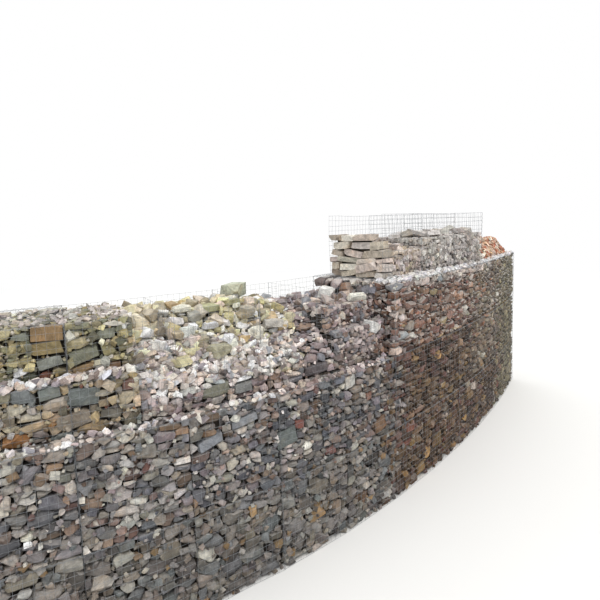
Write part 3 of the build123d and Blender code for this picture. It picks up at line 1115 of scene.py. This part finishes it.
def cell_mesh(wires, course, joint, last, random):
    """Mesh of the sides of a cell that show."""
    plan = outline(joint, joint + 1, course.front, course.back)
    shown = course.shown(joint)
    loose = course.name in STEPPED and joint + 1 > PACKED_END
    swell = LID_SWELL if loose else SWELL
    sides = [(plan[[0, 1]], swell, joint == last - 1), (plan[[2, 3]], swell, True)]
    if "near" in shown or (loose and course.name == "top"):
        sides.append((plan[[3, 0]], END_SWELL, True))
    if "far" in shown:
        sides.append((plan[[1, 2]], END_SWELL, True))
    for side, swell, edge in sides:
        panel(wires, upright(*side, course.bottom, course.top), outward_of(*side), random, swell, edge)
    if "top" in shown and (not loose or (course.name == "step" and joint == PART_FILLED)):
        low, high = shown["top"]
        strip = outline(joint, joint + 1, max(low, 0) + course.front, min(high + course.front, course.back))
        panel(wires, [(*p, course.top) for p in strip], (0, 0, 1), random, LID_SWELL)


def basket_binders(wires, course, first, last):
    """Binders along the front and back edges of a basket and up its ends."""
    for setback in (course.front, course.back):
        for joint in range(first, last):
            if course.name not in STEPPED or joint + 1 <= PACKED_END:
                binder(wires, spot(joint, setback, course.top), spot(joint + 1, setback, course.top))
        for joint in (first, last) if last == CELLS else (first,):
            binder(wires, spot(joint, setback, course.bottom), spot(joint, setback, course.top))


def under_slope(place, rise, height):
    """A sloping side through a place at some height, with its outward plan direction for each metre up."""
    return (*place, height), (*rise, 1.0)


def loose_cell(start, end, random, below, above):
    """Loose stone under its slope, in two pieces, between two places along one cell."""
    plan = outline(start, end, STEP_FACE, BACK)
    rise = (LOOSE_TOP - LOOSE_FACE) / (CREST - STEP_FACE)
    slopes = [under_slope(plan[0], -unit(plan[3] - plan[0]) * rise, LOOSE_FACE)]
    if end == PART_FILLED:
        slopes.append(under_slope(plan[0], unit(plan[1] - plan[0]) * (LOOSE_TOP - PART_FILL_TOP), LOOSE_TOP))
    shown = {side: EVERYWHERE for side in ("front", "top", "back")}
    grain = LOOSE_GRAIN if start < 3 else THIN_GRAIN
    space = Space(plan, UPPER, LOOSE_TOP, shown, grain, slope_palettes, slopes, *ROUGH, dust=0.1)
    space.pins = pins_in("slope", start, end, UPPER)
    pack(space, random, below, above, STEP)


def strew_ledge(course, joint, random, stones):
    """Small stones on the top of a packed cell."""
    end = min(joint + 1, PACKED_END) if course.name == "top" else joint + 1
    if course.name in STREWN and course.ledge and end > joint:
        count, inward, size, kind, sunk = STREWN[course.name]
        if kind == "crushed" and joint >= 4:
            kind = "part_filled"
        strew(stones, random, count, (joint, end), inward, kind, sunk, size, course.top)


def make_courses():
    """Every course, with the loose stone of the stepped half where it isn't packed."""
    spilled = Stones()
    for course in COURSES:
        for number, first, last in course.baskets:
            stones = Stones()
            wires = Wires()
            name = f"{course.name}_{number}"
            random = seed_of(name)
            for joint in range(first, last):
                for space in packed_cells(course, joint):
                    pack(space, random, stones)
                strew_ledge(course, joint, random, stones)
                if course.name == "step" and joint + 1 > PACKED_END and joint < PART_FILLED:
                    loose_cell(max(joint, PACKED_END), joint + 1, random, stones, spilled)
                cell_mesh(wires, course, joint, last, random)
            basket_binders(wires, course, first, last)
            stones.build(f"packed_{name}", f"{course.name}_stones_{number}", course.slot)
            wires.build(f"mesh_{name}", f"{course.name}_cage_{number}")
    lie_loose(spilled)
    spilled.build("spilled_rubble", "spilled_stones", "loose_stone")


# Loose stones with a place of their own: joint, setback, height, three sizes, turn and colour

BLOCKS = (
    (3.09, 0.42, 2.45, 0.19, 0.15, 0.1, 0.3, "d9cc86"),
    (2.91, 0.6, 2.6, 0.15, 0.14, 0.13, 0.7, "f0eeea"),
    (2.88, 0.78, 2.75, 0.17, 0.12, 0.09, 0.1, "cfc59a"),
    (4.11, 0.44, 2.46, 0.13, 0.12, 0.1, 0.9, "f4f1e8"),
    (4.08, 0.56, 2.58, 0.2, 0.14, 0.14, 0.5, "e9e2c8"),
    (4.38, 0.62, 2.63, 0.27, 0.17, 0.12, -0.5, "bdb4a4"),
    (4.71, 0.7, 2.66, 0.15, 0.12, 0.12, 0.2, "ddd19a"),
    (3.27, 0.7, 2.68, 0.16, 0.12, 0.13, 0.6, "dfe4da"),
    (3.57, 0.74, 2.71, 0.18, 0.12, 0.08, 0.2, "cfcfd2"),
    (3.66, 0.94, 2.87, 0.24, 0.14, 0.09, 0.1, "b9b878"),
    (3.99, 0.98, 2.9, 0.22, 0.14, 0.07, 0.1, "a8a566"),
    (3.3, 0.98, 2.9, 0.22, 0.16, 0.08, 0.0, "d9d4ba"),
    (3.42, 0.86, 2.8, 0.16, 0.13, 0.13, 0.0, "a3a294"),
    (3.54, 0.46, 2.49, 0.27, 0.18, 0.12, 0.2, "b3ab80"),
    (3.3, 0.6, 2.6, 0.17, 0.13, 0.1, 0.1, "ddc6bd"),
    (3.24, 0.5, 2.51, 0.17, 0.11, 0.08, 0.0, "e0d48e"),
    (4.14, 0.84, 2.79, 0.19, 0.15, 0.1, 0.3, "c2b393"),
    (3.72, 0.56, 2.57, 0.16, 0.12, 0.1, 0.8, "e6e6ea"),
    (4.27, 1.36, 2.99, 0.36, 0.26, 0.19, 0.5, "c3c8a6"),
    (5.62, 0.9, 2.84, 0.25, 0.2, 0.16, 0.6, "e6e4da"),
    (5.79, 0.46, 2.8, 0.26, 0.13, 0.09, -0.5, "dcd8c4"),
)


def slope_top(joints, setbacks):
    """Height of the loose stone, and of the part filled cell beyond it."""
    slope = LOOSE_FACE + (LOOSE_TOP - LOOSE_FACE) * (setbacks - STEP_FACE) / (CREST - STEP_FACE)
    drop = LOOSE_TOP - (LOOSE_TOP - PART_FILL_TOP) * (joints - PART_FILLED + 1)
    return np.where(joints < PART_FILLED, np.minimum(np.minimum(slope, LOOSE_TOP), drop), PART_FILL_TOP)


def strew(stones, random, count, along, inward, kind, sunk, size=None, height=None, drift=0.0, cuts=4):
    """Loose stones between two joints and two setbacks, a share of their size above the ground.

    Without a size they are broken stone, mostly small. Without a height they lie on the loose stone. With a
    drift they lie nearer the face for each metre along, and those that would pass the first setback go.
    """
    joints = random.uniform(*along, count)
    setbacks = random.uniform(*inward, count) - drift * (joints - DRIFT_START)
    if size:
        size = random.uniform(*size, count)
    else:
        size = np.minimum(BROKEN[0] * np.exp(random.normal(0.2, 0.35, count)), BROKEN[1])
    heights = slope_top(joints, setbacks) if height is None else height
    places = np.array([spot(*place) for place in np.column_stack([joints, setbacks, heights + size * sunk])])
    keep = setbacks > inward[0] - 0.01
    places, size = places[keep], size[keep, None]
    sizes = size * random.uniform(0.75, 1.3, places.shape) * (1.15, 1.0, 0.75)
    tints = choose_tints(np.full(len(places), kind, dtype=object), random)
    scatter(stones, places, sizes, tints, random, cuts=cuts)


def lie_loose(stones):
    """Stones lying on the slope, on the ledge before the second step and in the part filled cell."""
    random = seed_of("spill")
    for joint, setback, height, long, deep, tall, turn, colour in BLOCKS:
        corners, faces = lump(random, 0.08, 6, 0.95)
        turned = np.array(Matrix.Rotation(turn, 3, "Z") @ Matrix.Rotation(random.normal(0, 0.15), 3, "X"))
        points = spot(joint, setback, height) + (corners * (long, deep, tall) / 2) @ turned.T
        stones.add(points, faces, faded(linear(colour), PLACED_FADE), 0.0)
    strew(stones, random, 170, (PACKED_END, 4.7), (0.5, 1.4), "loose", 0.1, cuts=8)
    strew(stones, random, 60, (4.6, 5.95), (0.5, 1.4), "part_filled", 0.1, cuts=8)
    strew(stones, random, 520, (PACKED_END, 4.5), (0.2, 0.62), "crushed", 0.15, (0.025, 0.08), drift=0.08)
    strew(stones, random, 330, (0.1, PACKED_END), (0.19, 0.325), "crushed", 0.3, (0.02, 0.07), STEP)


OPEN_SIDES = {side: EVERYWHERE for side in ("front", "far", "back", "top")}
ALL_SIDES = {**OPEN_SIDES, "near": EVERYWHERE}
OPEN_FLOOR = TOP + WIRE
OPEN_INSIDE = OPEN_DEPTH - WIRE
OPEN_PITCH = OPEN_LENGTH / len(OPEN_FILLS)
FLAT_STONES = 10  # broad ones lying on the fill of each cell


def fill_open_basket(random):
    """Level stone in the cells of the open basket, with broad flat stones lying on it."""
    flat = seed_of("flat")
    stones = Stones()
    for cell, depth in enumerate(OPEN_FILLS):
        start = OPEN_PITCH * cell if cell else STACK
        end = OPEN_PITCH * (cell + 1)
        top = OPEN_FLOOR + depth
        plan = open_plan(start, end - WIRE, WIRE, OPEN_INSIDE)
        shown = ALL_SIDES if cell == 1 else OPEN_SIDES
        palettes = always("open" if cell else "open_near")
        space = Space(plan, OPEN_FLOOR, top, shown, FLAT_GRAIN, palettes, (), 0.3, 0.04, 0.6, chips=3)
        pack(space, random, stones)
        along = flat.uniform(start + 0.22, end - 0.24, FLAT_STONES)
        back = flat.uniform(0.17, OPEN_INSIDE - 0.2, FLAT_STONES)
        places = np.array([(*open_plan(a, a, b, b)[0], top + 0.02) for a, b in zip(along, back)])
        sizes = flat.uniform((0.2, 0.16, 0.06), (0.4, 0.28, 0.11), (FLAT_STONES, 3))
        scatter(stones, places, sizes, space.tints(places, flat), flat, 0.3, 0.16, 4)
    stones.build("open_basket_rubble", "open_stones", "loose_stone")


def make_stack(random):
    """Flat stones in rough rows, each through the thickness of the stack, stepped back under its slope."""
    stones = Stones()
    plan = open_plan(0, STACK, WIRE, OPEN_INSIDE)
    rise = (STACK_BACK - STACK_FRONT) / STACK_RISE
    slope = under_slope(plan[0], -unit(plan[3] - plan[0]) * rise, OPEN_FLOOR + STACK_FRONT)
    top = OPEN_FLOOR + STACK_BACK
    space = Space(plan, OPEN_FLOOR, top, ALL_SIDES, NEAR_GRAIN, slopes=(slope,))
    low = 0.0
    while low < STACK_BACK - 0.05:
        tall = min(random.uniform(0.06, 0.125), STACK_BACK - low)
        start = max(0.0, (low + 0.6 * tall - STACK_FRONT) / rise)
        while start < OPEN_DEPTH - 0.06:
            wide = random.uniform(0.12, 0.4)
            if start + wide > OPEN_DEPTH - 0.12:
                wide = OPEN_DEPTH - 0.015 - start
            corners, faces = lump(random, 0.07, 5, 1.02)
            size = np.array([STACK * random.uniform(0.8, 1.0), wide, tall * random.uniform(0.75, 1.15)])
            middle = np.array([STACK / 2 + random.normal(0, 0.012), start + wide / 2, low + tall / 2])
            tip, yaw = random.normal(0, (0.1, 0.12))
            turn = np.array(Matrix.Rotation(tip, 3, "X") @ Matrix.Rotation(yaw, 3, "Z"))
            tint = choose_tints(np.array(["stack"], dtype=object), random)[0]
            stones.add(space.to_world(middle + (corners * size / 2 * 1.08) @ turn.T), faces, tint, 0.4)
            start += wide
        low += tall
    add_core(space, stones, OPEN_FLOOR, top)
    stones.build("stacked_flat_stones", "stacked_end", "loose_stone")


def open_panels(random):
    """The open basket's own mesh, with a binder up each side of its end and diaphragms."""
    plan = open_plan(0, OPEN_LENGTH, 0, OPEN_DEPTH)
    sides = {"open_front": (plan[[0, 1]], OPEN_SWELL), "open_back": (plan[[2, 3]], OPEN_SWELL)}
    for cell in range(1, len(OPEN_FILLS)):
        side = open_plan(0, OPEN_PITCH * cell, 0, OPEN_DEPTH)[[1, 2]]
        sides[f"open_diaphragm_{cell}"] = (side, OPEN_END_SWELL)
    sides["open_far_end"] = (plan[[1, 2]], OPEN_END_SWELL)
    for name, (side, swell) in sides.items():
        wires = Wires()
        corners = upright(*side, OPEN_FLOOR, TOP + OPEN_HEIGHT)
        panel(wires, corners, outward_of(*side), random, swell, wave=0.006, thick=OPEN_WIRE)
        if name not in ("open_front", "open_back"):
            near, far, far_top, near_top = np.array(corners)
            binder(wires, near, near_top)
            binder(wires, far, far_top)
        wires.build(f"{name}_mesh", name)
    wires = Wires()
    panel(wires, [(*p, TOP + WIRE / 2) for p in plan], (0, 0, 1), random, thick=OPEN_WIRE)
    wires.build("open_floor_mesh", "open_floor")


def make_open_basket():
    """The open basket: its stone, the stack across its near end and its mesh."""
    random = seed_of("open")
    fill_open_basket(random)
    make_stack(random)
    open_panels(random)


def make_heap():
    """Red and cream rubble on the far end."""
    stones = Stones()
    plan = outline(HEAP_START, HEAP_END, HEAP_NEAR, HEAP_FAR)
    rise = HEAP_HEIGHT / HEAP_SLOPE
    edges = zip(plan, np.roll(plan, -1, axis=0))
    slopes = [under_slope(start, outward_of(start, end)[:2] * rise, TOP) for start, end in edges]
    top = TOP + HEAP_HEIGHT
    space = Space(plan, TOP, top, {"top": EVERYWHERE}, HEAP_GRAIN, always("rubble"), slopes, *ROUGH)
    pack(space, seed_of("heap"), stones)
    stones.build("far_end_rubble", "far_rubble", "loose_stone")


# Floor, light and camera


def make_floor():
    """A wide plain floor just under the wall."""
    mesh = bpy.data.meshes.new("floor")
    far = 60.0
    mesh.from_pydata([(-far, -far, 0), (far, -far, 0), (far, far, 0), (-far, far, 0)], [], [(0, 1, 2, 3)])
    mesh.materials.append(floor_material())
    floor = linked("floor", mesh)
    floor.location.z = CAD_BOX[0].z - 0.002
    floor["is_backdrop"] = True


def make_light():
    """A soft overcast sky with a wide lamp high in front, and a white backdrop."""
    world = bpy.data.worlds.new("studio")
    bpy.context.scene.world = world
    shader = Shader(world)
    height = shader.add("SeparateXYZ", "Z", {"Vector": shader.add("TexCoord", "Generated")})
    strength = shader.spread(height, -0.1, 1.0, 0.4, 1.35)
    sky = shader.add("Background", "Background", {"Color": (0.96, 0.98, 1.0, 1), "Strength": strength})
    white = shader.add("Background", "Background", {"Color": (1, 1, 1, 1)})
    rays = [shader.add("LightPath", f"Is {kind} Ray") for kind in ("Camera", "Glossy", "Transmission")]
    seen = shader.combine("MAXIMUM", *rays)
    shader.end(shader.add("MixShader", "Shader", {"Fac": seen, 1: sky, 2: white}))
    lamp = bpy.data.lights.new("high_lamp", "SUN")
    lamp.energy = 1.5
    lamp.angle = math.radians(35)
    lamp.color = (1.0, 0.98, 0.95)
    sun = linked("high_lamp", lamp)
    sun.rotation_mode = "QUATERNION"
    sun.rotation_quaternion = Vector((0.30, 0.46, -0.84)).to_track_quat("-Z", "Y")


def make_camera():
    """The photograph's viewing place, direction, roll and framing."""
    data = bpy.data.cameras.new("camera")
    data.lens = CAMERA_LENS
    data.shift_y = CAMERA_SHIFT_Y
    data.clip_end = 200
    camera = linked("camera", data)
    turn = Matrix.Rotation(math.radians(-CAMERA_AZIMUTH), 4, "Z")
    tip = Matrix.Rotation(math.radians(90 - CAMERA_PITCH), 4, "X")
    roll = Matrix.Rotation(math.radians(-CAMERA_ROLL), 4, "Z")
    camera.matrix_world = Matrix.Translation(CAMERA_PLACE) @ turn @ tip @ roll
    bpy.context.scene.camera = camera


make_camera()
make_courses()
make_open_basket()
make_heap()
make_floor()
make_light()
bpy.context.scene.view_settings.view_transform = "Standard"

corners = {"cad": CAD_BOX, "visual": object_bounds()}
{name: [list(corner) for corner in box] for name, box in corners.items()}
